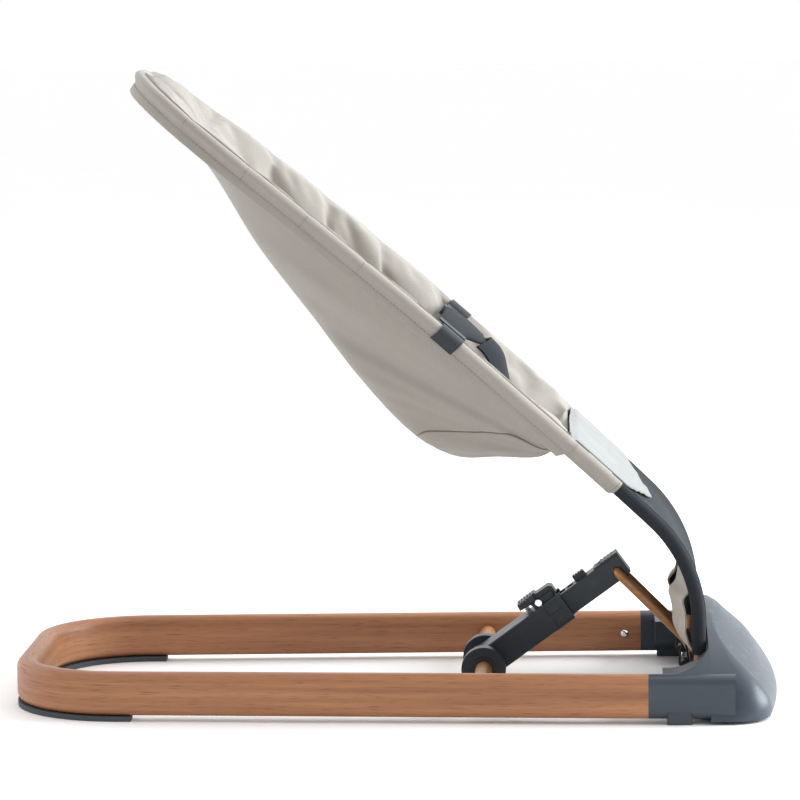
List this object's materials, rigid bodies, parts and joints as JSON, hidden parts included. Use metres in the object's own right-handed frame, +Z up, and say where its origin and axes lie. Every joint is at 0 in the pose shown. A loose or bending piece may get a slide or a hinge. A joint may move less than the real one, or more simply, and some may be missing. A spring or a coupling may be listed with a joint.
{
  "type": "bouncer seat",
  "caption": "Baby bouncer seat: U-shaped floor base, reclining sprung seat frame on a telescopic arm, sewn bucket cover with quilted back and lap harness.",
  "frame": {"origin": "on the floor under the middle of the base's length and width", "axes": "+X from the head end to the foot end, +Y the seat's left, +Z up"},
  "size_m": [0.747, 0.4, 0.6171],
  "materials": {
    "wood_tube": "walnut-look transfer film on steel tube, satin",
    "slate_plastic": "fine-textured slate grey moulding",
    "dark_plastic": "fine-textured dark moulding",
    "rubber": "matt dark slate rubber",
    "copper_tube": "copper-brown wood-look lacquer, satin",
    "steel": "bright zinc-plated",
    "chrome": "polished",
    "brass": "plain machined",
    "acetal": "smooth bearing plastic",
    "taupe_fabric": "fine woven taupe-grey cotton",
    "grey_fabric": "fine woven pale grey lining",
    "beige_fabric": "soft beige lining cloth",
    "anthracite_fabric": "tight woven anthracite cloth",
    "webbing": "dark ribbed webbing",
    "elastic": "black elastic cord"
  },
  "bodies": {
    "base": {"base_tube": "wood_tube", "rear_foot_pad_left": "rubber", "rear_foot_pad_right": "rubber", "rear_pad_screws": "steel", "cross_tube": "copper_tube", "rail_screws": "chrome", "rail_inserts": "brass", "front_housing": "slate_plastic", "housing_base_plate": "dark_plastic", "base_plate_screws": "steel", "front_grip_pad_left": "rubber", "front_grip_pad_right": "rubber", "nose_pads": "rubber", "hinge_bearing_left": "acetal", "hinge_bearing_right": "acetal", "bearing_screws": "steel", "flap_peg_left": "acetal", "flap_peg_right": "acetal", "elastic_loop_left": "elastic", "elastic_loop_right": "elastic"},
    "recline_frame": {"pivot_crossbar": "copper_tube", "crossbar_clips": "steel", "frame_leg_left": "copper_tube", "frame_leg_right": "copper_tube", "bail_rod": "copper_tube"},
    "lower_arm": {"lower_arm": "dark_plastic", "arm_collar": "dark_plastic", "hub_bush_left": "acetal", "hub_bush_right": "acetal", "latch_pin": "chrome", "latch_spring": "steel"},
    "latch": {"latch_lever": "dark_plastic"},
    "upper_arm": {"upper_arm": "dark_plastic", "end_clip": "dark_plastic", "end_clip_screw": "steel", "stop_spring": "steel"},
    "stop_button": {"stop_button": "dark_plastic"},
    "seat": {"seat_frame_tube": "copper_tube", "frame_sleeve": "taupe_fabric", "sling_back": "taupe_fabric", "seat_bottom_panel": "taupe_fabric", "sling_side_left": "taupe_fabric", "sling_side_right": "taupe_fabric", "quilted_pad": "taupe_fabric", "thigh_panel": "grey_fabric", "leg_panel": "anthracite_fabric", "lower_flap_left": "beige_fabric", "lower_flap_right": "beige_fabric", "strap_loop_left": "webbing", "strap_loop_right": "webbing", "side_strap_left": "webbing", "side_strap_right": "webbing", "buckle_socket_left": "acetal", "buckle_socket_right": "acetal", "belly_panel": "webbing", "crotch_panel": "anthracite_fabric"},
    "buckle_plug_left": {"buckle_plug_left": "acetal"},
    "buckle_plug_right": {"buckle_plug_right": "acetal"}
  },
  "joints": [
    {"name": "recline", "type": "hinge", "parent": "base", "child": "recline_frame", "pos_m": [0.2955, 0, 0.03], "axis": [0, -1, 0], "range_deg": [0, 9.5], "deforming": ["elastic_loop_left", "elastic_loop_right"]},
    {"name": "lower_arm_swing", "type": "hinge", "parent": "base", "child": "lower_arm", "pos_m": [0.0845, 0, 0.026], "axis": [0, -1, 0], "range_deg": [-2.5, 0.5]},
    {"name": "arm_telescope", "type": "slide", "parent": "lower_arm", "child": "upper_arm", "axis": [0.809, 0, 0.5878], "range_m": [-0.02, 0.0005]},
    {"name": "bounce", "type": "hinge", "parent": "recline_frame", "child": "seat", "pos_m": [0.2934, 0, 0.066], "axis": [0, -1, 0], "range_deg": [-3, 5], "stiffness_Nm_per_rad": 250, "springref_deg": -1.15},
    {"name": "latch_press", "type": "hinge", "parent": "lower_arm", "child": "latch", "pos_m": [0.13893, 0, 0.08804], "axis": [0, -1, 0], "range_deg": [0, 7], "stiffness_Nm_per_rad": 0.6, "springref_deg": -2.86, "deforming": ["latch_spring"]},
    {"name": "stop_button_press", "type": "slide", "parent": "upper_arm", "child": "stop_button", "axis": [0.5878, 0, -0.809], "range_m": [0, 0.0035], "stiffness_N_per_m": 400, "springref_m": -0.001, "deforming": ["stop_spring"]},
    {"name": "buckle_left_release", "type": "slide", "parent": "seat", "child": "buckle_plug_left", "axis": [0, 1, 0], "range_m": [0, 0.018], "deforming": ["side_strap_left"]},
    {"name": "buckle_right_release", "type": "slide", "parent": "seat", "child": "buckle_plug_right", "axis": [0, -1, 0], "range_m": [0, 0.018], "deforming": ["side_strap_right"]}
  ],
  "couplings": [
    {"joint": "lower_arm_swing", "follows": "recline", "ratio": -0.132},
    {"joint": "arm_telescope", "follows": "recline", "m_per_rad": -0.11575}
  ]
}
